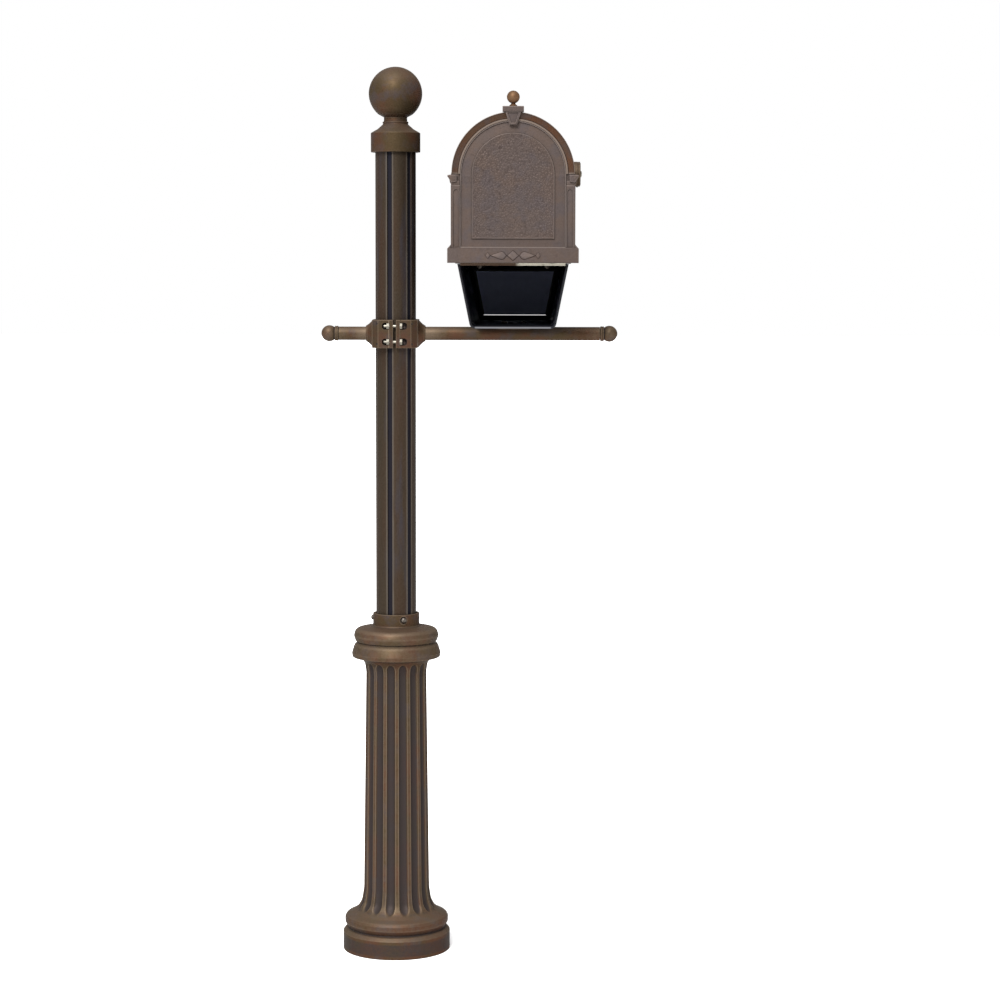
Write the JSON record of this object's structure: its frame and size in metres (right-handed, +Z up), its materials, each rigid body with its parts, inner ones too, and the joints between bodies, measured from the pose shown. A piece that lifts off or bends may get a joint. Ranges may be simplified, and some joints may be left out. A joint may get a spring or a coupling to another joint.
{
  "type": "post-mounted mailbox",
  "caption": "Arched roadside mailbox with a drop-down door, signal flag and open paper box, on an arm clamped to a ball-topped post in a fluted base.",
  "frame": {"origin": "on the post's axis, at the underside of the ground flange, which is ground level", "axes": "+Z up along the post, -Y towards the front of the letter box, +X along the arm towards the letter box"},
  "size_m": [0.5577, 0.5089, 1.6751],
  "materials": {
    "bronze_coat": "powder-coated casting, dark antique bronze, rubbed lighter on its edges",
    "shell_coat": "powder-coated sheet, dark antique bronze",
    "door_coat": "powder-coated casting, lighter taupe bronze",
    "post_coat": "powder-coated extrusion, dark bronze, rubbed on the grooves' edges",
    "tube_plastic": "moulded black plastic, semi-gloss",
    "zinc": "zinc-plated steel",
    "blackened": "blackened steel screws and nuts",
    "steel": "bare or galvanised steel",
    "nylon": "black nylon",
    "magnet": "ceramic magnet in a dark holder"
  },
  "bodies": {
    "post": {"base_cover": "bronze_coat", "post_cap": "bronze_coat", "finial_ball": "bronze_coat", "clamp_left": "bronze_coat", "clamp_right": "bronze_coat", "arm_left": "bronze_coat", "arm_right": "bronze_coat", "arm_end_left": "bronze_coat", "arm_end_right": "bronze_coat", "arm_saddle": "bronze_coat", "box_shell": "shell_coat", "box_back": "shell_coat", "box_floor": "shell_coat", "post_tube": "post_coat", "paper_tube": "tube_plastic", "flange_screw_1": "zinc", "flange_screw_2": "zinc", "flange_screw_3": "zinc", "clamp_bolt_front_lower": "zinc", "clamp_bolt_front_upper": "zinc", "clamp_bolt_rear_lower": "zinc", "clamp_bolt_rear_upper": "zinc", "clamp_nut_front_lower": "zinc", "clamp_nut_front_upper": "zinc", "clamp_nut_rear_lower": "zinc", "clamp_nut_rear_upper": "zinc", "flag_pivot_bolt": "zinc", "flag_nut": "zinc", "base_screw_1": "blackened", "base_screw_2": "blackened", "base_screw_3": "blackened", "saddle_bolt_1": "blackened", "saddle_bolt_2": "blackened", "floor_bolt_1": "blackened", "floor_bolt_2": "blackened", "floor_bolt_3": "blackened", "floor_bolt_4": "blackened", "floor_nut_1": "blackened", "floor_nut_2": "blackened", "floor_nut_3": "blackened", "floor_nut_4": "blackened", "ground_flange": "steel", "cap_set_screw": "steel", "arm_set_screw_left": "steel", "arm_set_screw_right": "steel", "finial_stud": "steel", "hinge_leaf_body": "steel", "hinge_pin": "steel", "flag_spacer": "nylon", "catch_magnet": "magnet"},
    "door": {"door_casting": "door_coat", "door_knob": "bronze_coat", "door_strike": "steel", "hinge_leaf_door": "steel"},
    "flag": {"signal_flag": "shell_coat"}
  },
  "joints": [
    {"name": "door_hinge", "type": "hinge", "parent": "post", "child": "door", "pos_m": [0.2225, -0.246, 1.3073], "axis": [1, 0, 0], "range_deg": [0, 100]},
    {"name": "flag_pivot", "type": "hinge", "parent": "post", "child": "flag", "pos_m": [0.34185, -0.15, 1.471], "axis": [1, 0, 0], "range_deg": [0, 90]}
  ]
}
